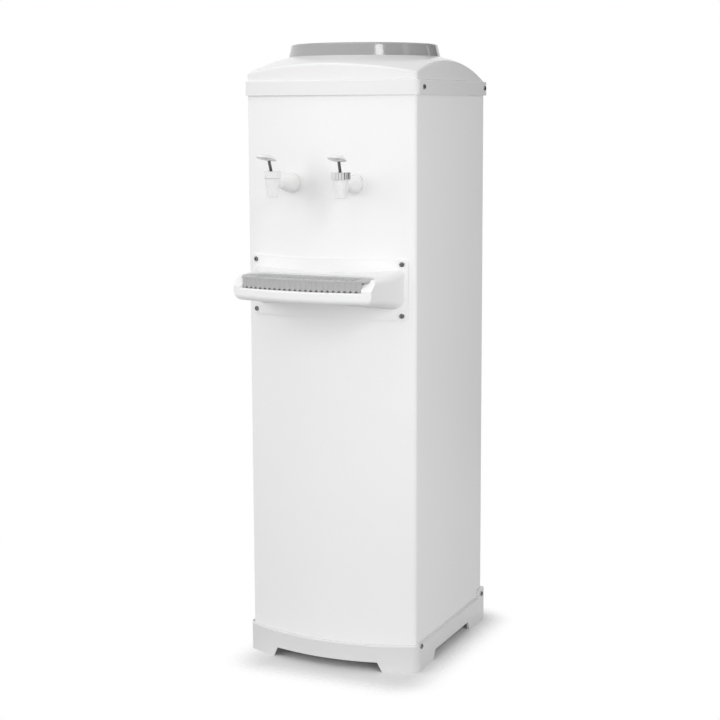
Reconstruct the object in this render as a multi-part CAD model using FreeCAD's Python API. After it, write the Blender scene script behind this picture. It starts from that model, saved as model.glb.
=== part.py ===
import FreeCAD, Part
import math
import os

V = FreeCAD.Vector

# Driving dimensions in millimetres. +Z is up, the front faces -Y and +X is the viewer's right.

# Cabinet sheet, wrapped round a bowed front
TOTAL_HEIGHT = 1000.0
PANEL_WIDTH = 294.0
SIDE_DEPTH = 298.0
FRONT_BOW = 33.0
SHEET = 1.0
REAR_SHEET = 0.8
CORNER_RADIUS = 8.0
REAR_CORNER_RADIUS = 4.0
RETURN_FLANGE = 15.0
REAR_PANEL_MARGIN = 5.0
FIT_GAP = 0.3
CUT_OVER = 6.0

# Base plinth
BASE_OUTSET = 4.8
BASE_RIM_TOP = 45.0
BASE_CORNER_RADIUS = 15.0
BASE_EDGE_ROUND = 2.8
BASE_FLOOR_TOP = 23.0
BASE_FLOOR = 3.0
BASE_WALL = 3.5
FOOT_LENGTH = 38.0
FRONT_NOTCH_WIDTH = 196.0
NOTCH_SLOPE = 8.0
NOTCH_HEIGHT = 16.0
SIDE_NOTCH_FRONT = 63.0
SIDE_NOTCH_REAR = 68.0
EAR_LENGTH = 22.0
EAR_HEIGHT = 12.0
EAR_DEPTH = 6.0

# Screws
SCREW_HEAD_RADIUS = 4.0
SCREW_HEAD_HEIGHT = 2.4
SCREW_HEAD_ROUND = 1.4
SCREW_SHANK_RADIUS = 1.8
SCREW_LENGTH = 9.0
SCREW_HOLE_RADIUS = 2.0
RECESS_LENGTH = 4.6
RECESS_WIDTH = 1.0
RECESS_DEPTH = 1.2
BASE_SCREW_SETBACK = 10.5
BASE_SCREW_BELOW_RIM = 4.5
EAR_SCREW_SETBACK = 9.5
EAR_SCREW_ABOVE_RIM = 2.6
COVER_SCREW_FRONT_SETBACK = 20.5
COVER_SCREW_REAR_SETBACK = 8.5
COVER_SCREW_BELOW_SKIRT = 11.0
REAR_SCREW_LOW = 100.0
REAR_SCREW_BELOW_COVER = 59.0
REAR_SCREW_ROWS = 4

# Top cover
COVER_HEIGHT = 62.0
SKIRT_HEIGHT = 23.0
SKIRT_OUTSET = 3.8
SKIRT_ROUND = 1.6
COVER_LEDGE_BELOW_SKIRT = 6.0
SHOULDER_OUTSET = 0.4
SHOULDER_ROUND = 4.5
COVER_WALL = 3.0
DOME_RADIUS = 470.0
COVER_HOLE_RADIUS = 113.0

# Bottle seat with funnel and neck tube
COLLAR_FOOT_RADIUS = 124.0
COLLAR_TOP_RADIUS = 120.0
COLLAR_HEIGHT = 20.0
COLLAR_ROUND = 4.0
COLLAR_WALL = 3.0
FUNNEL_RADIUS = 112.0
FUNNEL_STRAIGHT = 22.0
FUNNEL_DEPTH = 54.0
NECK_BORE_RADIUS = 29.0
NECK_WALL = 3.0
NECK_LENGTH = 33.0

# Drip tray
TRAY_FLANGE_WIDTH = 272.0
TRAY_BELOW_TAPS = 117.0
TRAY_FLANGE_HEIGHT = 95.0
TRAY_FLANGE_THICK = 3.0
TRAY_FLANGE_ROUND = 7.0
TRAY_DEPTH = 90.0
TRAY_HALF = 117.5
TRAY_FLARE = 16.0
TRAY_FRONT_SAG = 17.0
TRAY_PLAN_ROUND = 24.0
TRAY_CREST_RISE = 70.0
TRAY_ROOT_RISE = 14.0
TRAY_UNDER_ROOT = 12.0
TRAY_UNDER_SWEEP = 21.0
TRAY_LOW_ROUND = 20.0
TRAY_HIGH_ROUND = 9.0
TRAY_NOSE_RISE = 41.0
TRAY_NOSE_END_ROUND = 14.0
TRAY_NOSE_ROUND = 9.0
TRAY_CREST_RUN = 18.0
TRAY_CREST_FALL = 16.0
TRAY_SECTION_SHARES = (0, 0.15, 0.3, 0.5, 0.75, 1)
TRAY_WALL = 3.5
TRAY_BASIN_RISE = 40.5
TRAY_LEDGE = 5.0
TRAY_LIP_ROUND = 2.5
TRAY_MOUTH_DEPTH = 21.0
TRAY_SCREW_INSET = 9.5
TRAY_SCREW_TOP_INSET = 7.5
TRAY_SCREW_LOW_INSET = 7.0

# Drip grille
GRILLE_HALF = 109.5
GRILLE_REAR_SETBACK = 18.5
GRILLE_FRONT_INSET = 4.5
GRILLE_BELOW_CREST = 1.0
GRILLE_PLATE = 2.5
GRILLE_ROUND = 18.0
GRILLE_REAR_ROUND = 32.0
APRON_HEIGHT = 17.0
APRON_THICK = 3.0
APRON_HALF = 101.5
FLUTE_PITCH = 9.0
FLUTE_RADIUS = 5.0
FLUTE_COUNT = 22
FLUTE_DEPTH = 0.7
SCALLOP_RADIUS = 2.4
GRILLE_SLOT_WIDTH = 2.6
GRILLE_SLOT_LENGTH = 34.0
GRILLE_SLOT_PITCH = 9.0
GRILLE_SLOT_COUNT = 19

# Taps
TAP_OFFSET = 53.5
TAP_DROP = 198.0
TAP_REACH = 56.0
TAP_FAN_SHARE = 0.58
TAP_GASKET = 2.2
TAP_FLANGE_RADIUS = 16.4
TAP_FLANGE_RIM = 4.4
TAP_BELL_RADIUS = 15.0
TAP_BELL_MID_RADIUS = 12.6
TAP_BELL_MID = 16.0
TAP_NECK_RADIUS = 7.6
TAP_BELL_END = 28.0
TAP_THROAT_RADIUS = 6.2
TAP_THROAT = 35.0
TAP_SHANK_RADIUS = 8.0
TAP_SHANK = 26.0
TAP_BARB_RADIUS = 5.0
TAP_BARB = 14.0
TAP_HOLE_RADIUS = 8.4
TAP_BORE_RADIUS = 3.6
BARREL_LOW_DROP = 20.0
BARREL_LOW_RADIUS = 8.9
BARREL_TOP = 8.5
BARREL_TOP_RADIUS = 12.2
BARREL_ROUND = 1.5
BOSS_RADIUS = 10.3
BOSS_TOP = 16.2
CHAMBER_RADIUS = 8.5
CHAMBER_FLOOR_DROP = 5.0
SEAT_PLATE = 3.0
SEAT_ORIFICE_RADIUS = 4.0
SPOUT_BORE_RADIUS = 6.0
BONNET_LEFT_RADIUS = 12.8
BONNET_RIGHT_RADIUS = 14.8
BONNET_FLUTE_COUNT = 20
BONNET_FLUTE_RADIUS = 1.5
BONNET_LEFT_FLUTE_DEPTH = 0.3
BONNET_RIGHT_FLUTE_DEPTH = 0.8
BONNET_LOW = 8.8
BONNET_TOP = 20.0
BONNET_ROOF = 3.4
BONNET_ROUND = 1.2
BONNET_SLOT_FRONT = 9.4
BONNET_SLOT_REAR = 1.2
BONNET_SLOT_WIDTH = 5.4
PIVOT_RISE = 11.5
PIN_RADIUS = 1.0
PIN_GAP = 0.06
PIN_HALF = 10.2
STEM_RADIUS = 2.3
STEM_LEAN = 20.0
STEM_LENGTH = 31.5
STEM_DROP = 8.5
SEAL_RADIUS = 6.5
SEAL_DISC = 3.0
SEAL_POST_RADIUS = 4.2
SEAL_TOP = 6.0
SEAL_SOCKET_RADIUS = 2.6
SEAL_SOCKET_FLOOR = 2.6
PADDLE_LENGTH = 40.0
PADDLE_WIDTH = 27.0
PADDLE_CROWN = 6.5
PADDLE_DOME_SHARE = 1.08
PADDLE_HOLLOW_RADIUS = 140.0
PADDLE_HOLLOW = 1.0
PADDLE_TILT = 12.0
PADDLE_AHEAD = 17.0
PADDLE_RISE = 39.0
PADDLE_BOSS_RADIUS = 6.0
PADDLE_BOSS_TIP_RADIUS = 3.4
PADDLE_BOSS = 4.0
WASHER_RADIUS = 15.0
WASHER_THICK = 2.5
NUT_ACROSS_FLATS = 24.0
NUT_THICK = 6.0

# Cold tank and its insulation
TANK_OUTLET_RISE = 25.0
SHELF_SHEET = 1.2
SHELF_FRONT_GAP = 20.5
SHELF_LINE_GAP = 34.0
SHELF_FLANGE = 26.0
FOAM_FLOOR = 12.0
FOAM_WALL = 29.4
FOAM_LINE_GAP = 18.0
FOAM_SIDE_GAP = 18.0
FOAM_BELOW_TANK_TOP = 8.0
FOAM_PORT_RADIUS = 8.5
TANK_WALL = 2.5
TANK_NECK_INSET = 15.0
TANK_MOUTH_RADIUS = 37.0
TANK_STUB = 20.0
SLEEVE_ABOVE_TAPS = 15.0
SLEEVE_BELOW_TANK_TOP = 28.0
SLEEVE_THICK = 3.0
BAFFLE_BELOW_TANK_TOP = 56.0
BAFFLE_GAP = 1.5
BAFFLE_THICK = 2.5
RISER_RADIUS = 7.0
RISER_BORE_RADIUS = 4.5
RISER_OFFSET = 40.0
HOSE_RADIUS = 7.6
HOSE_BORE_RADIUS = 5.1
HOSE_END_GAP = 0.5
HOSE_TANK_GAP = 8.0

# Compressor and its mounting
PLATE_HALF = 100.0
PLATE_FRONT = 70.0
PLATE_REAR = 120.0
PLATE_THICK = 2.0
CAN_AHEAD = 25.0
CAN_RADIUS = 63.0
CAN_BOTTOM_RADIUS = 46.0
CAN_BOTTOM_RISE = 18.0
CAN_SEAM_RADIUS = 66.5
CAN_SEAM_RISE = 64.0
CAN_SEAM = 6.0
CAN_SHOULDER_RISE = 118.0
CAN_KNUCKLE = 20.0
CAN_CROWN = 8.0
FOOT_PLATE = 3.0
FOOT_HALF_X = 84.0
FOOT_HALF_Y = 58.0
FOOT_HOLE_INSET = 13.0
GROMMET_RADIUS = 10.0
GROMMET_HEIGHT = 16.0
BOLT_RADIUS = 3.0
BOLT_HOLE_GAP = 0.2
BOLT_HEAD_RADIUS = 6.0
BOLT_HEAD = 4.0
TERMINAL_WIDTH = 56.0
TERMINAL_DEPTH = 26.0
TERMINAL_LOW_RISE = 72.0
TERMINAL_HEIGHT = 42.0
TERMINAL_ROUND = 4.0

# Refrigerant lines and the condenser on the back
LINE_SETBACK = 19.5
LINE_BEND = 8.0
SUCTION_RADIUS = 3.2
SUCTION_X = 14.0
SUCTION_LEVEL = 140.0
LINE_BELOW_SLEEVE_TOP = 14.0
DISCHARGE_RADIUS = 2.5
DISCHARGE_X = 118.0
DISCHARGE_CAN_X = 42.0
DISCHARGE_LEVEL = 120.0
CAPILLARY_RADIUS = 1.2
CAPILLARY_DROP = 40.0
DRIER_RADIUS = 8.0
DRIER_BELOW_CONDENSER = 30.0
DRIER_HEIGHT = 62.0
DRIER_ROUND = 3.0
CONDENSER_STANDOFF = 22.0
CONDENSER_TUBE_RADIUS = 2.5
CONDENSER_HALF = 104.0
CONDENSER_BELOW_COVER = 54.0
CONDENSER_PITCH = 46.0
CONDENSER_RUNS = 11
CONDENSER_ENTRY = 6.0
CONDENSER_PORT_RADIUS = 4.5
WIRE_RADIUS = 0.8
WIRE_OVERHANG = 12.0
WIRE_COUNT = 19
WIRE_GAP = 0.1
BRACKET_WIDTH = 16.0
BRACKET_X = 92.0
BRACKET_INSET = 26.0

# Rear fittings
VENT_WIDTH = 84.0
VENT_HEIGHT = 5.0
VENT_PITCH = 14.0
VENT_ROWS = 8
VENT_LOW = 140.0
VENT_X = 68.0
THERMOSTAT_X = 68.0
THERMOSTAT_LEVEL = 300.0
THERMOSTAT_WIDTH = 40.0
THERMOSTAT_DEPTH = 26.0
KNOB_RADIUS = 13.0
KNOB_LENGTH = 14.0
KNOB_GAP = 0.5
KNOB_POINTER_WIDTH = 3.0
KNOB_POINTER_DEPTH = 1.5
SHAFT_RADIUS = 3.0
SHAFT_LENGTH = 16.0
SHAFT_GAP = 0.06
SHAFT_PORT_RADIUS = 4.0
GLAND_X = -100.0
GLAND_LEVEL = 90.0
GLAND_FLANGE_RADIUS = 12.0
GLAND_FLANGE = 3.0
GLAND_NECK_RADIUS = 8.0
GLAND_NECK = 8.0
GLAND_BORE_RADIUS = 4.0

# Sizes that follow from the ones above
HALF = PANEL_WIDTH / 2
REAR_Y = (SIDE_DEPTH + FRONT_BOW) / 2
CORNER_Y = REAR_Y - SIDE_DEPTH
FRONT_Y = CORNER_Y - FRONT_BOW
BOW_RADIUS = (HALF ** 2 + FRONT_BOW ** 2) / (2 * FRONT_BOW)
BOW_CENTRE_Y = FRONT_Y + BOW_RADIUS
SEAT_LEVEL = TOTAL_HEIGHT - COLLAR_HEIGHT
COVER_LOW = SEAT_LEVEL - COVER_HEIGHT
SKIRT_TOP = COVER_LOW + SKIRT_HEIGHT
LEDGE = SKIRT_TOP - COVER_LEDGE_BELOW_SKIRT
FUNNEL_LOW = SEAT_LEVEL - FUNNEL_DEPTH
NECK_LOW = FUNNEL_LOW - NECK_LENGTH
TAP_HEIGHT = SEAT_LEVEL - TAP_DROP
TAP_ANGLE = math.asin(TAP_OFFSET / BOW_RADIUS) * TAP_FAN_SHARE
TRAY_FRONT_Y = FRONT_Y - TRAY_DEPTH
TRAY_FLANGE_TOP = TAP_HEIGHT - TRAY_BELOW_TAPS
TRAY_FLANGE_LOW = TRAY_FLANGE_TOP - TRAY_FLANGE_HEIGHT
TRAY_CREST = TRAY_FLANGE_LOW + TRAY_CREST_RISE
TRAY_BASIN_FLOOR = TRAY_FLANGE_LOW + TRAY_BASIN_RISE
GRILLE_TOP = TRAY_CREST - GRILLE_BELOW_CREST
APRON_LOW = GRILLE_TOP - APRON_HEIGHT
TRAY_LIP_TOP = APRON_LOW - FIT_GAP
LINE_Y = REAR_Y - LINE_SETBACK
SHELF_TOP = TAP_HEIGHT - TANK_OUTLET_RISE - FOAM_FLOOR
SHELF_FRONT = -CORNER_Y - SHELF_FRONT_GAP
SHELF_REAR = LINE_Y - SHELF_LINE_GAP
TANK_TOP = NECK_LOW + TANK_NECK_INSET
FOAM_TOP = TANK_TOP - FOAM_BELOW_TANK_TOP
FOAM_RADIUS = min(LINE_Y - FOAM_LINE_GAP, HALF - FOAM_SIDE_GAP)
FOAM_BORE_RADIUS = FOAM_RADIUS - FOAM_WALL
TANK_RADIUS = FOAM_BORE_RADIUS - SLEEVE_THICK - 2 * FIT_GAP
SLEEVE_LOW = TAP_HEIGHT + SLEEVE_ABOVE_TAPS
SLEEVE_TOP = TANK_TOP - SLEEVE_BELOW_TANK_TOP
LINE_ENTRY_LEVEL = SLEEVE_TOP - LINE_BELOW_SLEEVE_TOP
BAFFLE_LEVEL = TANK_TOP - BAFFLE_BELOW_TANK_TOP
BAFFLE_RADIUS = TANK_RADIUS - TANK_WALL - BAFFLE_GAP
REAR_SCREW_PITCH = (COVER_LOW - REAR_SCREW_BELOW_COVER - REAR_SCREW_LOW) / (REAR_SCREW_ROWS - 1)
CONDENSER_TOP = COVER_LOW - CONDENSER_BELOW_COVER
CONDENSER_LOW = CONDENSER_TOP - CONDENSER_PITCH * (CONDENSER_RUNS - 1)
CONDENSER_Y = REAR_Y + REAR_SHEET + CONDENSER_STANDOFF
DRIER_LOW = CONDENSER_LOW - DRIER_BELOW_CONDENSER - DRIER_HEIGHT
CAPILLARY_LOW = DRIER_LOW - CAPILLARY_DROP
WIRE_SHIFT = CONDENSER_TUBE_RADIUS + WIRE_GAP + WIRE_RADIUS
REAR_REACH = CONDENSER_Y + WIRE_SHIFT + WIRE_RADIUS
CENTRE_Y = -(TRAY_FRONT_Y + REAR_REACH) / 2
CAN_LOW = BASE_FLOOR_TOP + PLATE_THICK + GROMMET_HEIGHT + FOOT_PLATE
UP = V(0, 0, 1)

os.makedirs("parts", exist_ok=True)


# Small tools for shapes

def export(shape, node):
    placed = shape.copy()
    placed.translate(V(0, CENTRE_Y, 0))
    placed.exportStep("parts/" + node + ".step")


def joined(shapes):
    result = shapes[0].multiFuse(shapes[1:]) if len(shapes) > 1 else shapes[0]
    return result.removeSplitter()


def group(shapes):
    return Part.makeCompound(shapes)


def box(x0, x1, y0, y1, z0, z1):
    return Part.makeBox(x1 - x0, y1 - y0, z1 - z0, V(x0, y0, z0))


def rod(radius, start, end):
    along = end.sub(start)
    return Part.makeCylinder(radius, along.Length, start, along)


def face_of(items, place):
    # Closed outline: a point is reached by a straight line, a pair (via, end) by an arc.
    edges = []
    last = items[0]
    for item in items[1:] + items[:1]:
        if isinstance(item[0], tuple):
            via, end = item
            edges.append(Part.Arc(place(*last), place(*via), place(*end)).toShape())
        else:
            end = item
            edges.append(Part.LineSegment(place(*last), place(*end)).toShape())
        last = end
    return Part.Face(Part.Wire(edges))


def turned(items):
    face = face_of(items, lambda r, z: V(r, 0, z))
    return face.revolve(V(0, 0, 0), UP, 360)


def vertical_edges(shape, y_low, y_high):
    found = []
    for edge in shape.Edges:
        first, last = edge.Vertexes[0].Point, edge.Vertexes[-1].Point
        upright = abs(first.x - last.x) + abs(first.y - last.y) < FIT_GAP
        if upright and abs(first.z - last.z) > FIT_GAP and y_low < first.y < y_high:
            found.append(edge)
    return found


def level_edges(shape, z):
    return [edge for edge in shape.Edges if edge.BoundBox.ZLength < FIT_GAP
            and abs(edge.BoundBox.ZMin - z) < FIT_GAP]


def outline_prism(outset, z_low, z_high, front_round, rear_outset=None):
    # Cabinet plan with its bowed front, set out or in by the same amount all round.
    rear = REAR_Y + (outset if rear_outset is None else rear_outset)
    wide = HALF + outset
    bow = BOW_RADIUS + outset
    corner = BOW_CENTRE_Y - math.sqrt(bow ** 2 - wide ** 2)
    items = [(wide, corner), (wide, rear), (-wide, rear), (-wide, corner),
             ((0, BOW_CENTRE_Y - bow), (wide, corner))]
    edges = []
    for first, last in zip(items[:3], items[1:4]):
        edges.append(Part.LineSegment(V(first[0], first[1], z_low), V(last[0], last[1], z_low)).toShape())
    edges.append(Part.Arc(V(-wide, corner, z_low), V(0, BOW_CENTRE_Y - bow, z_low),
                          V(wide, corner, z_low)).toShape())
    solid = Part.Face(Part.Wire(edges)).extrude(V(0, 0, z_high - z_low))
    solid = solid.makeFillet(front_round, vertical_edges(solid, FRONT_Y, 0))
    return solid.makeFillet(REAR_CORNER_RADIUS, vertical_edges(solid, REAR_Y / 2, rear + CUT_OVER))


def on_bow(x, z, outset):
    angle = math.asin(x / BOW_RADIUS)
    reach = BOW_RADIUS + outset
    return V(math.sin(angle) * reach, BOW_CENTRE_Y - math.cos(angle) * reach, z)


def bow_normal(x):
    angle = math.asin(x / BOW_RADIUS)
    return V(math.sin(angle), -math.cos(angle), 0)


def tube(points, radius, bend):
    # Round bar along straight runs joined by tangent arcs.
    spots = [V(*point) for point in points]
    edges = []
    start = spots[0]
    for before, corner, after in zip(spots, spots[1:], spots[2:]):
        into = corner.sub(before).normalize()
        out = after.sub(corner).normalize()
        turn = into.getAngle(out)
        trim = bend * math.tan(turn / 2)
        first = corner - into * trim
        last = corner + out * trim
        middle = corner + out.sub(into).normalize() * (bend / math.cos(turn / 2) - bend)
        edges.append(Part.LineSegment(start, first).toShape())
        edges.append(Part.Arc(first, middle, last).toShape())
        start = last
    edges.append(Part.LineSegment(start, spots[-1]).toShape())
    ring = Part.Wire([Part.Circle(spots[0], spots[1].sub(spots[0]), radius).toShape()])
    return Part.Wire(edges).makePipeShell([ring], True, True)


def pan_screw():
    # Head above Z = 0 with a cross recess, shank below.
    head = Part.makeCylinder(SCREW_HEAD_RADIUS, SCREW_HEAD_HEIGHT)
    head = head.makeFillet(SCREW_HEAD_ROUND, level_edges(head, SCREW_HEAD_HEIGHT))
    shank = Part.makeCylinder(SCREW_SHANK_RADIUS, SCREW_LENGTH, V(0, 0, -SCREW_LENGTH))
    low = SCREW_HEAD_HEIGHT - RECESS_DEPTH
    long, slim = RECESS_LENGTH / 2, RECESS_WIDTH / 2
    cross = box(-long, long, -slim, slim, low, low + CUT_OVER)
    cross = cross.fuse(box(-slim, slim, -long, long, low, low + CUT_OVER))
    return joined([head, shank]).cut(cross)


def aimed(shape, spot, direction):
    placed = shape.copy()
    placed.Placement = FreeCAD.Placement(spot, FreeCAD.Rotation(UP, direction))
    return placed


def drill(shape, radius, spots, depth):
    # Round holes through a wall at each (place, outward direction), reaching depth inwards.
    tools = []
    for spot, outward in spots:
        tools.append(rod(radius, spot + outward * CUT_OVER, spot - outward * depth))
    return shape.cut(group(tools))


SIDES = (-1, 1)


# Places of the screws, each with the direction its head faces

def base_screw_spots():
    spots = []
    for side in SIDES:
        out = V(side, 0, 0)
        x = side * (HALF + BASE_OUTSET)
        spots.append((V(x, CORNER_Y + BASE_SCREW_SETBACK, BASE_RIM_TOP - BASE_SCREW_BELOW_RIM), out))
        spots.append((V(x, REAR_Y - EAR_SCREW_SETBACK, BASE_RIM_TOP + EAR_SCREW_ABOVE_RIM), out))
    return spots


def cover_screw_spots():
    spots = []
    level = SKIRT_TOP - COVER_SCREW_BELOW_SKIRT
    for side in SIDES:
        for y in (CORNER_Y + COVER_SCREW_FRONT_SETBACK, REAR_Y - COVER_SCREW_REAR_SETBACK):
            spots.append((V(side * (HALF + SKIRT_OUTSET), y, level), V(side, 0, 0)))
    return spots


def rear_screw_spots():
    spots = []
    for side in SIDES:
        for row in range(REAR_SCREW_ROWS):
            x = side * (HALF - RETURN_FLANGE / 2)
            z = REAR_SCREW_LOW + REAR_SCREW_PITCH * row
            spots.append((V(x, REAR_Y + REAR_SHEET, z), V(0, 1, 0)))
    return spots


def tray_screw_spots():
    spots = []
    for side in SIDES:
        x = side * (TRAY_FLANGE_WIDTH / 2 - TRAY_SCREW_INSET)
        top = TRAY_FLANGE_TOP - TRAY_SCREW_TOP_INSET
        for z in (TRAY_FLANGE_LOW + TRAY_SCREW_LOW_INSET, top):
            spots.append((on_bow(x, z, TRAY_FLANGE_THICK), bow_normal(x)))
    return spots


def screws(spots):
    return group([aimed(pan_screw(), spot, outward) for spot, outward in spots])


# Base plinth: moulded tray with a rim round the cabinet, foot corners and notches

def base_plinth():
    block = outline_prism(BASE_OUTSET, 0, BASE_RIM_TOP, BASE_CORNER_RADIUS)
    block = block.makeFillet(BASE_EDGE_ROUND, level_edges(block, BASE_RIM_TOP))
    ears = outline_prism(BASE_OUTSET, BASE_FLOOR_TOP, BASE_RIM_TOP + EAR_HEIGHT, BASE_CORNER_RADIUS)
    slots = []
    for side in SIDES:
        low, high = sorted((side * (HALF - EAR_DEPTH), side * (HALF + BASE_OUTSET + CUT_OVER)))
        slots.append(box(low, high, REAR_Y - EAR_LENGTH, REAR_Y + BASE_OUTSET + CUT_OVER,
                         BASE_FLOOR_TOP, BASE_RIM_TOP + EAR_HEIGHT))
    block = joined([block, ears.common(group(slots))])
    well = outline_prism(FIT_GAP, BASE_FLOOR_TOP, BASE_RIM_TOP + EAR_HEIGHT + CUT_OVER, CORNER_RADIUS,
                         REAR_SHEET + FIT_GAP)
    under = outline_prism(BASE_OUTSET - BASE_WALL, -CUT_OVER, BASE_FLOOR_TOP - BASE_FLOOR, CORNER_RADIUS)
    feet = []
    for side in SIDES:
        low, high = sorted((side * (HALF - FOOT_LENGTH), side * (HALF + BASE_OUTSET)))
        for y in (CORNER_Y - FOOT_LENGTH / 2, REAR_Y - FOOT_LENGTH):
            feet.append(box(low, high, y, y + FOOT_LENGTH * 3 / 2, 0, BASE_FLOOR_TOP))
    under = under.cut(group(feet))
    block = block.cut(well).cut(under)
    wide = FRONT_NOTCH_WIDTH / 2
    far = SIDE_DEPTH
    front = face_of([(-wide, -CUT_OVER), (-wide, 0), (-wide + NOTCH_SLOPE, NOTCH_HEIGHT),
                     (wide - NOTCH_SLOPE, NOTCH_HEIGHT), (wide, 0), (wide, -CUT_OVER)],
                    lambda x, z: V(x, -far, z)).extrude(V(0, 2 * far, 0))
    near, back = CORNER_Y + SIDE_NOTCH_FRONT, REAR_Y - SIDE_NOTCH_REAR
    across = face_of([(near, -CUT_OVER), (near, 0), (near + NOTCH_SLOPE, NOTCH_HEIGHT),
                      (back - NOTCH_SLOPE, NOTCH_HEIGHT), (back, 0), (back, -CUT_OVER)],
                     lambda y, z: V(-far, y, z)).extrude(V(2 * far, 0, 0))
    block = block.cut(front).cut(across)
    bolts = [(V(x, y, BASE_FLOOR_TOP), UP) for x, y in compressor_bolt_spots()]
    block = drill(block, BOLT_RADIUS + BOLT_HOLE_GAP, bolts, BASE_FLOOR + CUT_OVER)
    return drill(block, SCREW_HOLE_RADIUS, base_screw_spots(), SCREW_LENGTH)


# Cabinet wrap: one painted sheet round the front and sides, returned at the back

def cabinet_wrap():
    shell = outline_prism(0, BASE_FLOOR_TOP, LEDGE, CORNER_RADIUS)
    inner = outline_prism(-SHEET, BASE_FLOOR_TOP - CUT_OVER, LEDGE + CUT_OVER, CORNER_RADIUS - SHEET)
    shell = shell.cut(inner)
    gap = HALF - RETURN_FLANGE
    shell = shell.cut(box(-gap, gap, REAR_Y - CUT_OVER, REAR_Y + CUT_OVER, BASE_FLOOR_TOP, LEDGE))
    for spots in (base_screw_spots(), cover_screw_spots(), rear_screw_spots(), tray_screw_spots()):
        shell = drill(shell, SCREW_HOLE_RADIUS, spots, SCREW_LENGTH + CUT_OVER)
    taps = []
    for side in SIDES:
        x = side * TAP_OFFSET
        taps.append((on_bow(x, TAP_HEIGHT, 0), bow_normal(x)))
    return drill(shell, TAP_HOLE_RADIUS, taps, CUT_OVER)


# Rear panel: flat sheet with louvre slots and ports

def rear_panel():
    wide = HALF - REAR_PANEL_MARGIN
    sheet = box(-wide, wide, REAR_Y, REAR_Y + REAR_SHEET, BASE_FLOOR_TOP, LEDGE)
    vents = []
    for side in SIDES:
        x = side * VENT_X
        for row in range(VENT_ROWS):
            z = VENT_LOW + VENT_PITCH * row
            vents.append(box(x - VENT_WIDTH / 2, x + VENT_WIDTH / 2, REAR_Y - CUT_OVER,
                             REAR_Y + CUT_OVER, z, z + VENT_HEIGHT))
    sheet = sheet.cut(group(vents))
    back = V(0, 1, 0)
    face = REAR_Y + REAR_SHEET
    ports = [(SCREW_HOLE_RADIUS, spot) for spot, out in rear_screw_spots()]
    ports.append((CONDENSER_PORT_RADIUS, V(DISCHARGE_X, face, CONDENSER_TOP)))
    ports.append((CONDENSER_PORT_RADIUS, V(-DISCHARGE_X, face, CONDENSER_LOW)))
    ports.append((SHAFT_PORT_RADIUS, V(THERMOSTAT_X, face, THERMOSTAT_LEVEL)))
    ports.append((GLAND_NECK_RADIUS, V(GLAND_X, face, GLAND_LEVEL)))
    for radius, spot in ports:
        sheet = drill(sheet, radius, [(spot, back)], CUT_OVER)
    return sheet


# Top cover: moulded skirt over the cabinet and a shallow dome with arched sides

def dome(radius):
    drop = math.sqrt(DOME_RADIUS ** 2 - COLLAR_FOOT_RADIUS ** 2)
    return Part.makeSphere(radius, V(0, 0, SEAT_LEVEL - drop))


def top_cover():
    skirt = outline_prism(SKIRT_OUTSET, COVER_LOW, SKIRT_TOP, CORNER_RADIUS + SKIRT_OUTSET)
    skirt = skirt.makeFillet(SKIRT_ROUND, level_edges(skirt, SKIRT_TOP))
    shoulder = outline_prism(SHOULDER_OUTSET, COVER_LOW, TOTAL_HEIGHT, CORNER_RADIUS + SHOULDER_OUTSET)
    shoulder = shoulder.common(dome(DOME_RADIUS))
    rims = [edge for edge in shoulder.Edges if edge.BoundBox.ZMin > SKIRT_TOP]
    shoulder = shoulder.makeFillet(SHOULDER_ROUND, rims)
    cover = joined([skirt, shoulder])
    far = SIDE_DEPTH
    cover = cover.cut(box(-far, far, -far, far, SEAT_LEVEL, TOTAL_HEIGHT))
    cover = cover.cut(outline_prism(FIT_GAP, COVER_LOW - CUT_OVER, LEDGE, CORNER_RADIUS,
                                    REAR_SHEET + FIT_GAP))
    hollow = outline_prism(SHOULDER_OUTSET - COVER_WALL, LEDGE - CUT_OVER, SEAT_LEVEL - COVER_WALL,
                           CORNER_RADIUS)
    cover = cover.cut(hollow.common(dome(DOME_RADIUS - COVER_WALL)))
    cover = cover.cut(Part.makeCylinder(COVER_HOLE_RADIUS, TOTAL_HEIGHT))
    return drill(cover, SCREW_HOLE_RADIUS, cover_screw_spots(), SCREW_LENGTH)


# Bottle seat: collar, funnel and neck tube in one moulding that lifts out

def bottle_seat():
    lip = COLLAR_ROUND
    bend = lip * (1 - math.sqrt(1 / 2))
    inner = FUNNEL_RADIUS - COLLAR_WALL
    funnel_top = SEAT_LEVEL - FUNNEL_STRAIGHT
    outer = [(COLLAR_FOOT_RADIUS, SEAT_LEVEL),
             (COLLAR_TOP_RADIUS, TOTAL_HEIGHT - lip),
             ((COLLAR_TOP_RADIUS - bend, TOTAL_HEIGHT - bend), (COLLAR_TOP_RADIUS - lip, TOTAL_HEIGHT)),
             (inner + lip, TOTAL_HEIGHT),
             ((inner + bend, TOTAL_HEIGHT - bend), (inner, TOTAL_HEIGHT - lip))]
    funnel = [(inner, funnel_top),
              (NECK_BORE_RADIUS, FUNNEL_LOW),
              (NECK_BORE_RADIUS, NECK_LOW),
              (NECK_BORE_RADIUS + NECK_WALL, NECK_LOW),
              (NECK_BORE_RADIUS + NECK_WALL, FUNNEL_LOW - COLLAR_WALL),
              (FUNNEL_RADIUS, funnel_top - COLLAR_WALL)]
    roof = TOTAL_HEIGHT - lip
    hollow = [(FUNNEL_RADIUS, roof),
              (COLLAR_TOP_RADIUS - COLLAR_WALL, roof),
              (COLLAR_FOOT_RADIUS - COLLAR_WALL, SEAT_LEVEL)]
    return turned(outer + funnel + hollow)


# Drip tray: bowed flange on the panel with a basin standing out from it

def tray_arc(inset):
    # Radius and centre of the tray's front edge, drawn in by the inset.
    radius = (TRAY_HALF ** 2 + TRAY_FRONT_SAG ** 2) / (2 * TRAY_FRONT_SAG)
    return radius - inset, TRAY_FRONT_Y + radius


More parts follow.
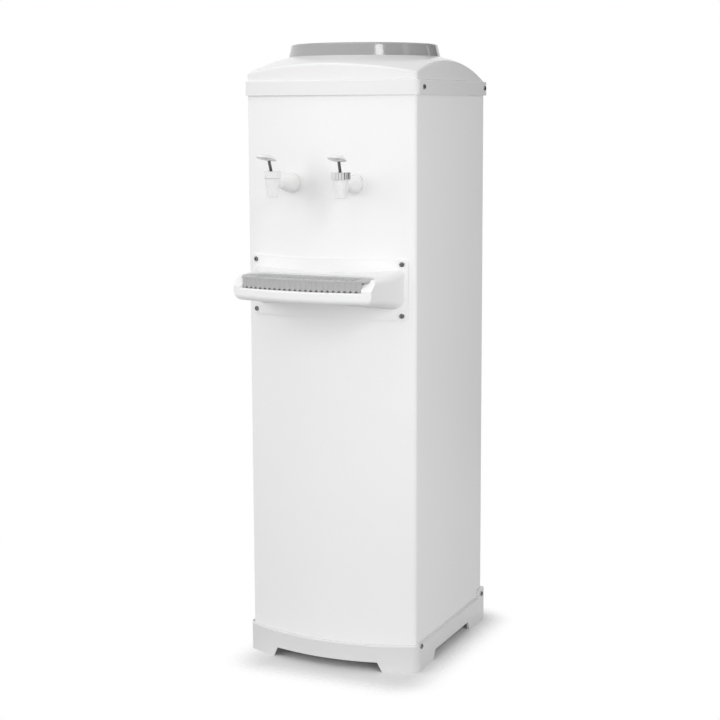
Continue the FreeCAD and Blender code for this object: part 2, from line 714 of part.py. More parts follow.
def tray_plan(half, inset, rear_y, z_low, z_high, rounding):
    radius, centre = tray_arc(inset)
    corner = centre - math.sqrt(radius ** 2 - half ** 2)
    face = face_of([(half, rear_y), (-half, rear_y), (-half, corner),
                    ((0, centre - radius), (half, corner))],
                   lambda x, y: V(x, y, z_low))
    solid = face.extrude(V(0, 0, z_high - z_low))
    return solid.makeFillet(rounding, vertical_edges(solid, TRAY_FRONT_Y - CUT_OVER, rear_y - FIT_GAP))


def tray_section(y, half, low, high, low_round, high_round):
    # Rounded rectangle across the tray, facing forward.
    lower, upper = low_round * (1 - math.sqrt(1 / 2)), high_round * (1 - math.sqrt(1 / 2))
    items = [(-half + low_round, low), (half - low_round, low),
             ((half - lower, low + lower), (half, low + low_round)), (half, high - high_round),
             ((half - upper, high - upper), (half - high_round, high)), (-half + high_round, high),
             ((-half + upper, high - upper), (-half, high - high_round)), (-half, low + low_round),
             ((-half + lower, low + lower), (-half + low_round, low))]
    edges = []
    last = items[0]
    for item in items[1:]:
        if isinstance(item[0], tuple):
            via, end = item
            edges.append(Part.Arc(V(last[0], y, last[1]), V(via[0], y, via[1]),
                                  V(end[0], y, end[1])).toShape())
        else:
            end = item
            edges.append(Part.LineSegment(V(last[0], y, last[1]), V(end[0], y, end[1])).toShape())
        last = end
    return Part.Wire(edges)


def tray_sweep(inset):
    # Body of the tray: its ends and top sweep out to the flange, its underside slopes down to it.
    wires = []
    for share in TRAY_SECTION_SHARES:
        back = 1 - share
        y = CORNER_Y * back + (TRAY_FRONT_Y - CUT_OVER) * share
        half = TRAY_HALF + TRAY_FLARE * back ** 2 - inset
        high = TRAY_CREST + TRAY_ROOT_RISE * back ** 4 - inset
        low = TRAY_FLANGE_LOW + TRAY_UNDER_ROOT + TRAY_UNDER_SWEEP * (1 - back ** 2) + inset
        low_round = TRAY_LOW_ROUND * back + TRAY_NOSE_END_ROUND * share - inset
        wires.append(tray_section(y, half, low, high, low_round, TRAY_HIGH_ROUND - inset))
    return Part.makeLoft(wires, True, False)


def tray_nose():
    # The tray's front, turned about the centre of its arc: crest, slope, upright lip and round lower edge.
    radius, centre = tray_arc(0)
    soft = TRAY_NOSE_ROUND
    bend = soft * (1 - math.sqrt(1 / 2))
    low = TRAY_FLANGE_LOW + TRAY_NOSE_RISE
    over, under = TRAY_FLANGE_TOP + CUT_OVER, TRAY_FLANGE_LOW - CUT_OVER
    crest = radius - TRAY_CREST_RUN
    nose = turned([(0, under), (radius - soft, under), (radius - soft, low - soft),
                   ((radius - bend, low - soft + bend), (radius, low)),
                   (radius, TRAY_CREST - TRAY_CREST_FALL), (crest, TRAY_CREST), (crest, over), (0, over)])
    nose.translate(V(0, centre, 0))
    return nose


def grille_plan(gap, z_low, z_high):
    rear = FRONT_Y - GRILLE_REAR_SETBACK + gap
    solid = tray_plan(GRILLE_HALF + gap, GRILLE_FRONT_INSET - gap, rear, z_low, z_high, GRILLE_ROUND + gap)
    return solid.makeFillet(GRILLE_REAR_ROUND + gap, vertical_edges(solid, rear - FIT_GAP, rear + FIT_GAP))


def mouth_edges(tray, mouth):
    # Front edge of the lip, and the front edges of the two walls beside the mouth.
    near = FIT_GAP
    found = []
    for edge in tray.Edges:
        bound = edge.BoundBox
        level = bound.ZLength < near
        if level and abs(bound.ZMin - TRAY_LIP_TOP) < near and bound.YMin < TRAY_FRONT_Y + near:
            found.append(edge)
        upright_wall = bound.XLength < near and bound.YLength < near and abs(abs(bound.XMin) - mouth) < near
        if upright_wall and bound.YMax < TRAY_FRONT_Y + TRAY_CREST_RUN:
            found.append(edge)
    return found


def tray_body():
    wide = TRAY_FLANGE_WIDTH / 2
    top = TRAY_FLANGE_TOP
    plate = box(-wide, wide, TRAY_FRONT_Y, CORNER_Y + CUT_OVER, TRAY_FLANGE_LOW, top)
    corners = [edge for edge in plate.Edges if edge.BoundBox.YLength > CUT_OVER]
    plate = plate.makeFillet(TRAY_FLANGE_ROUND, corners)
    plate = plate.common(outline_prism(TRAY_FLANGE_THICK, TRAY_FLANGE_LOW, top, CORNER_RADIUS))
    plan = tray_plan(TRAY_HALF + TRAY_FLARE, -FIT_GAP, CORNER_Y + CUT_OVER, TRAY_FLANGE_LOW, top,
                     TRAY_PLAN_ROUND)
    basin = tray_sweep(0).common(plan).common(tray_nose())
    tray = joined([plate, basin])
    tray = tray.cut(outline_prism(0, TRAY_FLANGE_LOW - CUT_OVER, top + CUT_OVER, CORNER_RADIUS))
    tray = tray.cut(grille_plan(FIT_GAP, GRILLE_TOP - GRILLE_PLATE, top))
    rear = FRONT_Y - GRILLE_REAR_SETBACK - TRAY_LEDGE
    tray = tray.cut(grille_plan(-TRAY_LEDGE, TRAY_BASIN_FLOOR, top))
    mouth = APRON_HALF + FIT_GAP
    tray = tray.cut(box(-mouth, mouth, TRAY_FRONT_Y - CUT_OVER, TRAY_FRONT_Y + TRAY_MOUTH_DEPTH,
                        TRAY_LIP_TOP, top))
    back = box(-wide, wide, rear + TRAY_WALL + TRAY_LEDGE, 0, TRAY_FLANGE_LOW, top)
    tray = tray.cut(tray_sweep(TRAY_WALL).common(back))
    tray = tray.makeFillet(TRAY_LIP_ROUND, mouth_edges(tray, mouth))
    return drill(tray, SCREW_HOLE_RADIUS, tray_screw_spots(), SCREW_LENGTH)


# Drip grille: slotted plate with a fluted apron across the front

def drip_grille():
    seat = GRILLE_TOP - GRILLE_PLATE
    plate = grille_plan(0, seat, GRILLE_TOP)
    rear = FRONT_Y - GRILLE_REAR_SETBACK
    slots = []
    radius, centre = tray_arc(GRILLE_FRONT_INSET)
    for number in range(GRILLE_SLOT_COUNT):
        x = (number - (GRILLE_SLOT_COUNT - 1) / 2) * GRILLE_SLOT_PITCH
        y = (rear + centre - math.sqrt(radius ** 2 - x ** 2)) / 2
        slots.append(box(x - GRILLE_SLOT_WIDTH / 2, x + GRILLE_SLOT_WIDTH / 2, y - GRILLE_SLOT_LENGTH / 2,
                         y + GRILLE_SLOT_LENGTH / 2, seat - CUT_OVER, GRILLE_TOP + CUT_OVER))
    plate = plate.cut(group(slots))
    ring = Part.makeCylinder(radius, GRILLE_TOP - APRON_LOW, V(0, centre, APRON_LOW))
    ring = ring.cut(Part.makeCylinder(radius - APRON_THICK, GRILLE_TOP - APRON_LOW, V(0, centre, APRON_LOW)))
    apron = ring.common(box(-APRON_HALF, APRON_HALF, TRAY_FRONT_Y, rear, APRON_LOW, seat))
    flutes, scallops = [], []
    for number in range(FLUTE_COUNT):
        angle = (number - (FLUTE_COUNT - 1) / 2) * FLUTE_PITCH / radius
        reach = radius + FLUTE_RADIUS - FLUTE_DEPTH
        spot = V(math.sin(angle) * reach, centre - math.cos(angle) * reach, APRON_LOW)
        flutes.append(Part.makeCylinder(FLUTE_RADIUS, seat - APRON_LOW, spot))
        tooth = V(math.sin(angle), -math.cos(angle), 0)
        middle = V(0, centre, APRON_LOW)
        scallops.append(rod(SCALLOP_RADIUS, middle + tooth * (radius - CUT_OVER),
                            middle + tooth * (radius + CUT_OVER)))
    apron = apron.cut(group(flutes)).cut(group(scallops))
    return joined([plate, apron])


# Taps: each is built with its shank axis on -Y at the origin, then set on the bowed panel

def set_tap(shape, side):
    placed = shape.copy()
    turn = FreeCAD.Rotation(UP, math.degrees(side * TAP_ANGLE))
    placed.Placement = FreeCAD.Placement(on_bow(side * TAP_OFFSET, TAP_HEIGHT, 0), turn)
    return placed


def along_tap(radius, out_start, out_end):
    return rod(radius, V(0, -out_start, 0), V(0, -out_end, 0))


def upright(items):
    solid = turned(items)
    solid.translate(V(0, -TAP_REACH, 0))
    return solid


def post(radius, z_low, z_high):
    return upright([(0, z_low), (radius, z_low), (radius, z_high), (0, z_high)])


def tap_pin():
    level = PIVOT_RISE
    return rod(PIN_RADIUS, V(-PIN_HALF, -TAP_REACH, level), V(PIN_HALF, -TAP_REACH, level))


def tap_body():
    bell = face_of([(0, TAP_GASKET), (TAP_FLANGE_RADIUS, TAP_GASKET), (TAP_FLANGE_RADIUS, TAP_FLANGE_RIM),
                    (TAP_BELL_RADIUS, TAP_FLANGE_RIM),
                    ((TAP_BELL_MID_RADIUS, TAP_BELL_MID), (TAP_NECK_RADIUS, TAP_BELL_END)),
                    (TAP_THROAT_RADIUS, TAP_THROAT), (TAP_THROAT_RADIUS, TAP_REACH), (0, TAP_REACH)],
                   lambda r, s: V(r, -s, 0))
    bell = bell.revolve(V(0, 0, 0), V(0, 1, 0), 360)
    shank = along_tap(TAP_SHANK_RADIUS, TAP_GASKET, -TAP_SHANK)
    barb = along_tap(TAP_BARB_RADIUS, -TAP_SHANK, -TAP_SHANK - TAP_BARB)
    low, soft = -BARREL_LOW_DROP, BARREL_ROUND
    bend = soft * (1 - math.sqrt(1 / 2))
    barrel = upright([(0, low), (BARREL_LOW_RADIUS - soft, low),
                      ((BARREL_LOW_RADIUS - bend, low + bend), (BARREL_LOW_RADIUS, low + soft)),
                      (BARREL_TOP_RADIUS, BARREL_TOP), (BOSS_RADIUS, BARREL_TOP), (BOSS_RADIUS, BOSS_TOP),
                      (0, BOSS_TOP)])
    body = joined([bell, shank, barb, barrel])
    floor = -CHAMBER_FLOOR_DROP
    body = body.cut(post(CHAMBER_RADIUS, floor, BOSS_TOP + CUT_OVER))
    body = body.cut(post(SEAT_ORIFICE_RADIUS, floor - SEAT_PLATE, floor))
    body = body.cut(post(SPOUT_BORE_RADIUS, low - CUT_OVER, floor - SEAT_PLATE))
    body = body.cut(along_tap(TAP_BORE_RADIUS, TAP_REACH, -TAP_SHANK - TAP_BARB - CUT_OVER))
    reach = PIN_HALF + CUT_OVER
    hole = rod(PIN_RADIUS + PIN_GAP, V(-reach, -TAP_REACH, PIVOT_RISE), V(reach, -TAP_REACH, PIVOT_RISE))
    return body.cut(hole)


def tap_bonnet(radius, flute_depth):
    roof = BONNET_TOP - BONNET_ROOF
    cap = Part.makeCylinder(radius, BONNET_TOP - BONNET_LOW, V(0, -TAP_REACH, BONNET_LOW))
    cap = cap.makeFillet(BONNET_ROUND, level_edges(cap, BONNET_TOP) + level_edges(cap, BONNET_LOW))
    cap = cap.cut(post(BOSS_RADIUS + FIT_GAP, BONNET_LOW - CUT_OVER, roof))
    half = BONNET_SLOT_WIDTH / 2
    slot = box(-half, half, -TAP_REACH - BONNET_SLOT_FRONT, -TAP_REACH + BONNET_SLOT_REAR,
               roof - CUT_OVER, BONNET_TOP + CUT_OVER)
    flutes = []
    for number in range(BONNET_FLUTE_COUNT):
        angle = 2 * math.pi * (number + 1 / 2) / BONNET_FLUTE_COUNT
        reach = radius + BONNET_FLUTE_RADIUS - flute_depth
        spot = V(math.cos(angle) * reach, math.sin(angle) * reach - TAP_REACH, BONNET_LOW)
        flutes.append(Part.makeCylinder(BONNET_FLUTE_RADIUS, BONNET_TOP - BONNET_LOW, spot))
    return cap.cut(slot).cut(group(flutes))


def tap_stem():
    # Straight below its pin, leaning forward above it.
    pivot = V(0, -TAP_REACH, PIVOT_RISE)
    lean = math.radians(STEM_LEAN)
    top = pivot + V(0, -math.sin(lean), math.cos(lean)) * STEM_LENGTH
    upper = rod(STEM_RADIUS, pivot, top)
    lower = rod(STEM_RADIUS, V(0, -TAP_REACH, PIVOT_RISE - STEM_DROP), pivot)
    knuckle = Part.makeSphere(STEM_RADIUS, pivot)
    return joined([upper, lower, knuckle]).cut(tap_pin())


def tap_paddle():
    # Domed leaf, tilted front up, with a boss round the head of the stem.
    long, wide = PADDLE_LENGTH / 2, PADDLE_WIDTH / 2
    outline = Part.Ellipse(V(0, 0, 0), long, wide).toShape()
    leaf = Part.Face(Part.Wire([outline])).extrude(V(0, 0, PADDLE_LENGTH))
    stretch = FreeCAD.Matrix()
    stretch.scale(PADDLE_DOME_SHARE, PADDLE_DOME_SHARE * wide / long, PADDLE_CROWN / long)
    leaf = leaf.common(Part.makeSphere(long).transformGeometry(stretch))
    leaf = leaf.cut(Part.makeSphere(PADDLE_HOLLOW_RADIUS, V(0, 0, PADDLE_HOLLOW - PADDLE_HOLLOW_RADIUS)))
    leaf.rotate(V(0, 0, 0), UP, 90)
    leaf.rotate(V(0, 0, 0), V(1, 0, 0), -PADDLE_TILT)
    leaf.translate(V(0, -TAP_REACH - PADDLE_AHEAD, PADDLE_RISE))
    lean = math.radians(STEM_LEAN)
    aim = V(0, -math.sin(lean), math.cos(lean))
    head = V(0, -TAP_REACH, PIVOT_RISE) + aim * STEM_LENGTH
    boss = Part.makeCone(PADDLE_BOSS_TIP_RADIUS, PADDLE_BOSS_RADIUS, PADDLE_BOSS,
                         head - aim * PADDLE_BOSS, aim)
    return joined([leaf, boss]).cut(tap_stem())


def tap_seal():
    floor = -CHAMBER_FLOOR_DROP
    plug = joined([post(SEAL_RADIUS, floor, floor + SEAL_DISC), post(SEAL_POST_RADIUS, floor, SEAL_TOP)])
    return plug.cut(post(SEAL_SOCKET_RADIUS, SEAL_SOCKET_FLOOR, SEAL_TOP + CUT_OVER))


def tap_gasket(side):
    ring = along_tap(TAP_FLANGE_RADIUS, TAP_GASKET, -CUT_OVER)
    ring = ring.cut(along_tap(TAP_HOLE_RADIUS, TAP_GASKET + CUT_OVER, -2 * CUT_OVER))
    reach = 2 * TAP_FLANGE_RADIUS
    panel = outline_prism(0, TAP_HEIGHT - reach, TAP_HEIGHT + reach, CORNER_RADIUS)
    return set_tap(ring, side).cut(panel)


def tap_washer(side):
    ring = along_tap(WASHER_RADIUS, 0, -SHEET - WASHER_THICK)
    ring = ring.cut(along_tap(TAP_HOLE_RADIUS, CUT_OVER, -2 * CUT_OVER))
    reach = 2 * TAP_FLANGE_RADIUS
    room = outline_prism(-SHEET, TAP_HEIGHT - reach, TAP_HEIGHT + reach, CORNER_RADIUS - SHEET)
    return set_tap(ring, side).common(room)


def tap_nut():
    start = -SHEET - WASHER_THICK
    reach = NUT_ACROSS_FLATS / math.sqrt(3)
    turns = [math.radians(60 * number) for number in range(6)]
    corners = [(reach * math.cos(a), reach * math.sin(a)) for a in turns]
    flats = face_of(corners, lambda x, z: V(x, -start, z))
    nut = flats.extrude(V(0, NUT_THICK, 0))
    return nut.cut(along_tap(TAP_SHANK_RADIUS, CUT_OVER, start - NUT_THICK - CUT_OVER))


# Tank shelf, insulation, tank, sleeve and what is in the tank

def tank_reach():
    # Distance along a tap's axis from the panel face to the tank's wall.
    spot = on_bow(TAP_OFFSET, TAP_HEIGHT, 0)
    out = V(math.sin(TAP_ANGLE), -math.cos(TAP_ANGLE), 0)
    along = spot.x * out.x + spot.y * out.y
    offset = spot.x ** 2 + spot.y ** 2 - TANK_RADIUS ** 2
    return along - math.sqrt(along ** 2 - offset)


def tank_shelf():
    wide = HALF - SHEET
    low = SHELF_TOP - SHELF_SHEET
    shelf = box(-wide, wide, -SHELF_FRONT, SHELF_REAR, low, SHELF_TOP)
    sides = []
    for side in SIDES:
        x0, x1 = sorted((side * (wide - SHELF_SHEET), side * wide))
        sides.append(box(x0, x1, -SHELF_FRONT, SHELF_REAR, SHELF_TOP - SHELF_FLANGE, SHELF_TOP))
    return joined([shelf] + sides)


def foam_ports():
    ports = []
    for side in SIDES:
        ports.append(set_tap(along_tap(FOAM_PORT_RADIUS, 0, -tank_reach() - FOAM_PORT_RADIUS), side))
    for x in (-SUCTION_X, SUCTION_X):
        start, end = V(x, 0, LINE_ENTRY_LEVEL), V(x, LINE_Y, LINE_ENTRY_LEVEL)
        ports.append(rod(SUCTION_RADIUS + FIT_GAP, start, end))
    return group(ports)


def insulation():
    foam = Part.makeCylinder(FOAM_RADIUS, FOAM_TOP - SHELF_TOP, V(0, 0, SHELF_TOP))
    bore = Part.makeCylinder(FOAM_BORE_RADIUS, FOAM_TOP, V(0, 0, SHELF_TOP + FOAM_FLOOR))
    return foam.cut(bore).cut(foam_ports())


def foam_half(front):
    reach = FOAM_RADIUS + CUT_OVER
    y0, y1 = (-reach, 0) if front else (0, reach)
    return insulation().common(box(-reach, reach, y0, y1, SHELF_TOP, FOAM_TOP))


def cold_tank():
    low = SHELF_TOP + FOAM_FLOOR
    wall = TANK_RADIUS - TANK_WALL
    tank = turned([(0, low), (TANK_RADIUS, low), (TANK_RADIUS, TANK_TOP), (TANK_MOUTH_RADIUS, TANK_TOP),
                   (TANK_MOUTH_RADIUS, TANK_TOP - TANK_WALL), (wall, TANK_TOP - TANK_WALL),
                   (wall, low + TANK_WALL), (0, low + TANK_WALL)])
    inside = Part.makeCylinder(wall, TANK_TOP - low, V(0, 0, low))
    stubs, bores = [], []
    reach = tank_reach()
    deep = -reach - TANK_WALL - 2 * TAP_BARB_RADIUS
    for side in SIDES:
        stub = along_tap(TAP_BARB_RADIUS, TANK_STUB - reach, deep)
        bore = along_tap(TAP_BORE_RADIUS, TANK_STUB - reach + CUT_OVER, deep)
        stubs.append(set_tap(stub, side).cut(inside))
        bores.append(set_tap(bore, side))
    return joined([tank] + stubs).cut(group(bores))


def evaporator_sleeve():
    inner = TANK_RADIUS + FIT_GAP
    return turned([(inner, SLEEVE_LOW), (inner + SLEEVE_THICK, SLEEVE_LOW),
                   (inner + SLEEVE_THICK, SLEEVE_TOP), (inner, SLEEVE_TOP)])


def seat_seal():
    inner = NECK_BORE_RADIUS + NECK_WALL + FIT_GAP
    low = TANK_TOP - TANK_WALL
    return turned([(inner, low), (TANK_MOUTH_RADIUS, low), (TANK_MOUTH_RADIUS, TANK_TOP),
                   (TANK_MOUTH_RADIUS + TANK_WALL, TANK_TOP),
                   (TANK_MOUTH_RADIUS + TANK_WALL, TANK_TOP + TANK_WALL), (inner, TANK_TOP + TANK_WALL)])


def baffle_disc():
    low = SHELF_TOP + FOAM_FLOOR + TANK_WALL
    disc = Part.makeCylinder(BAFFLE_RADIUS, BAFFLE_THICK, V(0, 0, BAFFLE_LEVEL))
    riser = Part.makeCylinder(RISER_RADIUS, BAFFLE_LEVEL - low, V(-RISER_OFFSET, 0, low))
    bore = Part.makeCylinder(RISER_BORE_RADIUS, TOTAL_HEIGHT, V(-RISER_OFFSET, 0, low))
    return joined([disc, riser]).cut(bore)


def hose():
    start, end = -TAP_SHANK - HOSE_END_GAP, HOSE_TANK_GAP - tank_reach()
    bore = along_tap(HOSE_BORE_RADIUS, start + CUT_OVER, end - CUT_OVER)
    return along_tap(HOSE_RADIUS, start, end).cut(bore)


# Compressor on its rubber grommets, with the terminal cover

def compressor_bolt_spots():
    spots = []
    for side in SIDES:
        for edge in SIDES:
            x = side * (FOOT_HALF_X - FOOT_HOLE_INSET)
            spots.append((x, CAN_AHEAD + edge * (FOOT_HALF_Y - FOOT_HOLE_INSET)))
    return spots


def compressor_plate():
    low = BASE_FLOOR_TOP
    plate = box(-PLATE_HALF, PLATE_HALF, -PLATE_FRONT, PLATE_REAR, low, low + PLATE_THICK)
    spots = [(V(x, y, low + PLATE_THICK), UP) for x, y in compressor_bolt_spots()]
    return drill(plate, BOLT_RADIUS + BOLT_HOLE_GAP, spots, CUT_OVER)


def compressor_can():
    low = CAN_LOW
    shoulder = low + CAN_SHOULDER_RISE
    bend = CAN_KNUCKLE * (1 - math.sqrt(1 / 2))
    crown = shoulder + CAN_KNUCKLE
    flat = CAN_RADIUS - CAN_KNUCKLE
    ball = (flat ** 2 + CAN_CROWN ** 2) / (2 * CAN_CROWN)
    mid_rise = CAN_CROWN - ball + math.sqrt(ball ** 2 - (flat / 2) ** 2)
    can = turned([(0, low), (CAN_BOTTOM_RADIUS, low), (CAN_RADIUS, low + CAN_BOTTOM_RISE),
                  (CAN_RADIUS, low + CAN_SEAM_RISE), (CAN_SEAM_RADIUS, low + CAN_SEAM_RISE),
                  (CAN_SEAM_RADIUS, low + CAN_SEAM_RISE + CAN_SEAM),
                  (CAN_RADIUS, low + CAN_SEAM_RISE + CAN_SEAM),
                  (CAN_RADIUS, shoulder), ((CAN_RADIUS - bend, crown - bend), (flat, crown)),
                  ((flat / 2, crown + mid_rise), (0, crown + CAN_CROWN))])
    can.translate(V(0, CAN_AHEAD, 0))
    feet = box(-FOOT_HALF_X, FOOT_HALF_X, CAN_AHEAD - FOOT_HALF_Y, CAN_AHEAD + FOOT_HALF_Y,
               low - FOOT_PLATE, low)
    spots = [(V(x, y, low), UP) for x, y in compressor_bolt_spots()]
    return joined([can, drill(feet, BOLT_RADIUS + BOLT_HOLE_GAP, spots, CUT_OVER)])


def compressor_grommets():
    low = BASE_FLOOR_TOP + PLATE_THICK
    rings = []
    for x, y in compressor_bolt_spots():
        ring = Part.makeCylinder(GROMMET_RADIUS, GROMMET_HEIGHT, V(x, y, low))
        rings.append(ring.cut(Part.makeCylinder(BOLT_RADIUS + BOLT_HOLE_GAP, GROMMET_HEIGHT, V(x, y, low))))
    return group(rings)


def compressor_bolts():
    bolts = []
    start = BASE_FLOOR_TOP - BASE_FLOOR
    for x, y in compressor_bolt_spots():
        shank = Part.makeCylinder(BOLT_RADIUS, CAN_LOW - start, V(x, y, start))
        bolts.append(joined([shank, Part.makeCylinder(BOLT_HEAD_RADIUS, BOLT_HEAD, V(x, y, CAN_LOW))]))
    return group(bolts)


def terminal_cover():
    wide = TERMINAL_WIDTH / 2
    low = CAN_LOW + TERMINAL_LOW_RISE
    front = CAN_AHEAD - CAN_RADIUS - TERMINAL_DEPTH
    cover = box(-wide, wide, front, CAN_AHEAD, low, low + TERMINAL_HEIGHT)
    cover = cover.makeFillet(TERMINAL_ROUND, vertical_edges(cover, front - FIT_GAP, front + FIT_GAP))
    return cover.cut(Part.makeCylinder(CAN_RADIUS, TOTAL_HEIGHT, V(0, CAN_AHEAD, 0)))


# Refrigerant circuit

def can_side(x):
    return CAN_AHEAD + math.sqrt(CAN_RADIUS ** 2 - x ** 2)


def suction_line():
    sleeve = math.sqrt((TANK_RADIUS + FIT_GAP + SLEEVE_THICK) ** 2 - (SUCTION_X - SUCTION_RADIUS) ** 2)
    return tube([(SUCTION_X, sleeve, LINE_ENTRY_LEVEL), (SUCTION_X, LINE_Y, LINE_ENTRY_LEVEL),
                 (SUCTION_X, LINE_Y, SUCTION_LEVEL), (SUCTION_X, can_side(SUCTION_X - SUCTION_RADIUS),
                                                      SUCTION_LEVEL)], SUCTION_RADIUS, LINE_BEND)


def discharge_line():
    start = can_side(DISCHARGE_CAN_X - DISCHARGE_RADIUS)
    return tube([(DISCHARGE_CAN_X, start, DISCHARGE_LEVEL), (DISCHARGE_CAN_X, LINE_Y, DISCHARGE_LEVEL),
                 (DISCHARGE_X, LINE_Y, DISCHARGE_LEVEL), (DISCHARGE_X, LINE_Y, CONDENSER_TOP),
                 (DISCHARGE_X, REAR_Y - CONDENSER_ENTRY, CONDENSER_TOP)], DISCHARGE_RADIUS, LINE_BEND)


def capillary_tube():
    sleeve = math.sqrt((TANK_RADIUS + FIT_GAP + SLEEVE_THICK) ** 2 - (SUCTION_X - CAPILLARY_RADIUS) ** 2)
    return tube([(-DISCHARGE_X, LINE_Y, DRIER_LOW), (-DISCHARGE_X, LINE_Y, CAPILLARY_LOW),
                 (-SUCTION_X, LINE_Y, CAPILLARY_LOW), (-SUCTION_X, LINE_Y, LINE_ENTRY_LEVEL),
                 (-SUCTION_X, sleeve, LINE_ENTRY_LEVEL)], CAPILLARY_RADIUS, LINE_BEND)


def drier():
    body = Part.makeCylinder(DRIER_RADIUS, DRIER_HEIGHT, V(-DISCHARGE_X, LINE_Y, DRIER_LOW))
    ends = level_edges(body, DRIER_LOW) + level_edges(body, DRIER_LOW + DRIER_HEIGHT)
    return body.makeFillet(DRIER_ROUND, ends)


def condenser_tube():
    points = [(DISCHARGE_X, REAR_Y - CONDENSER_ENTRY, CONDENSER_TOP),
              (DISCHARGE_X, CONDENSER_Y, CONDENSER_TOP)]
    bend = CONDENSER_PITCH / 2
    side = -1
    for run in range(CONDENSER_RUNS - 1):
        z = CONDENSER_TOP - CONDENSER_PITCH * run
        x = side * CONDENSER_HALF
        points.append((x, CONDENSER_Y, z))
        points.append((x, CONDENSER_Y, z - CONDENSER_PITCH))
        side = -side
    points.append((-DISCHARGE_X, CONDENSER_Y, CONDENSER_LOW))
    points.append((-DISCHARGE_X, LINE_Y, CONDENSER_LOW))
    points.append((-DISCHARGE_X, LINE_Y, DRIER_LOW + DRIER_HEIGHT))
    return tube(points, CONDENSER_TUBE_RADIUS, LINE_BEND)


def condenser_wires():
    wires = []
    low, high = CONDENSER_LOW - WIRE_OVERHANG, CONDENSER_TOP + WIRE_OVERHANG
    reach = CONDENSER_HALF - WIRE_OVERHANG
    for number in range(WIRE_COUNT):
        x = -reach + 2 * reach * number / (WIRE_COUNT - 1)
        for side in SIDES:
            y = CONDENSER_Y + side * WIRE_SHIFT
            wires.append(rod(WIRE_RADIUS, V(x, y, low), V(x, y, high)))
    return group(wires)


def condenser_brackets():
    face = REAR_Y + REAR_SHEET
    depth = CONDENSER_Y - WIRE_SHIFT - WIRE_RADIUS - WIRE_GAP
    half = BRACKET_WIDTH / 2
    blocks = []
    for side in SIDES:
        for z in (CONDENSER_LOW + BRACKET_INSET, CONDENSER_TOP - BRACKET_INSET):
            x = side * BRACKET_X
            blocks.append(box(x - half, x + half, face, depth, z - half, z + half))
    return group(blocks)


# Thermostat and cord gland on the rear panel

def thermostat_box():
    half = THERMOSTAT_WIDTH / 2
    z = THERMOSTAT_LEVEL
    x = THERMOSTAT_X
    case = box(x - half, x + half, REAR_Y - THERMOSTAT_DEPTH, REAR_Y, z - half, z + half)
    bore = rod(SHAFT_RADIUS + SHAFT_GAP, V(x, REAR_Y - SHAFT_LENGTH, z), V(x, REAR_Y, z))
    return case.cut(bore)


def thermostat_knob():
    face = REAR_Y + REAR_SHEET + KNOB_GAP
    z = THERMOSTAT_LEVEL
    cap = rod(KNOB_RADIUS, V(THERMOSTAT_X, face, z), V(THERMOSTAT_X, face + KNOB_LENGTH, z))
    shaft = rod(SHAFT_RADIUS, V(THERMOSTAT_X, REAR_Y - SHAFT_LENGTH + KNOB_GAP, z), V(THERMOSTAT_X, face, z))
    half = KNOB_POINTER_WIDTH / 2
    outer = face + KNOB_LENGTH
    groove = box(THERMOSTAT_X - half, THERMOSTAT_X + half, outer - KNOB_POINTER_DEPTH, outer + CUT_OVER,
                 z, z + KNOB_RADIUS + CUT_OVER)
    return joined([cap, shaft]).cut(groove)


def cord_gland():
    face = REAR_Y + REAR_SHEET
    spot = V(GLAND_X, face, GLAND_LEVEL)
    back = V(0, 1, 0)
    flange = rod(GLAND_FLANGE_RADIUS, spot, spot + back * GLAND_FLANGE)
    neck = rod(GLAND_NECK_RADIUS, spot, spot - back * GLAND_NECK)
    bore = rod(GLAND_BORE_RADIUS, spot + back * CUT_OVER, spot - back * (GLAND_NECK + CUT_OVER))
    return joined([flange, neck]).cut(bore)


# Write every node

export(base_plinth(), "base_plinth")
export(screws(base_screw_spots()), "base_screws")
export(cabinet_wrap(), "cabinet_wrap")
export(rear_panel(), "rear_panel")
export(screws(rear_screw_spots()), "rear_screws")
export(top_cover(), "top_cover")
export(screws(cover_screw_spots()), "cover_screws")
export(bottle_seat(), "bottle_seat")
export(seat_seal(), "seat_seal")
export(tray_body(), "tray_body")
export(screws(tray_screw_spots()), "tray_screws")
export(drip_grille(), "drip_grille")
for name, side, bonnet in (("left", -1, tap_bonnet(BONNET_LEFT_RADIUS, BONNET_LEFT_FLUTE_DEPTH)),
                           ("right", 1, tap_bonnet(BONNET_RIGHT_RADIUS, BONNET_RIGHT_FLUTE_DEPTH))):
    export(set_tap(tap_body(), side), "tap_" + name + "_body")
    export(set_tap(bonnet, side), "tap_" + name + "_bonnet")
    export(set_tap(tap_paddle(), side), "tap_" + name + "_paddle")
    export(set_tap(tap_stem(), side), "tap_" + name + "_stem")
    export(set_tap(tap_pin(), side), "tap_" + name + "_pin")
    export(set_tap(tap_seal(), side), "tap_" + name + "_seal")
    export(tap_gasket(side), "tap_" + name + "_gasket")
    export(tap_washer(side), "tap_" + name + "_washer")
    export(set_tap(tap_nut(), side), "tap_" + name + "_nut")
    export(set_tap(hose(), side), "tap_" + name + "_hose")
export(tank_shelf(), "tank_shelf")
export(foam_half(True), "insulation_front")
export(foam_half(False), "insulation_rear")
export(cold_tank(), "cold_tank")
export(evaporator_sleeve(), "evaporator_sleeve")
export(baffle_disc(), "baffle_disc")
export(compressor_plate(), "compressor_plate")
export(compressor_can(), "compressor_can")
export(compressor_grommets(), "compressor_grommets")
export(compressor_bolts(), "compressor_bolts")
export(terminal_cover(), "terminal_cover")
export(suction_line(), "suction_line")
export(discharge_line(), "discharge_line")
export(capillary_tube(), "capillary_tube")
export(drier(), "drier")
export(condenser_tube(), "condenser_tube")
export(condenser_wires(), "condenser_wires")
export(condenser_brackets(), "condenser_brackets")
export(thermostat_box(), "thermostat_box")
export(thermostat_knob(), "thermostat_knob")
export(cord_gland(), "cord_gland")
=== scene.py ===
import math
import bpy
from mathutils import Euler, Matrix, Vector

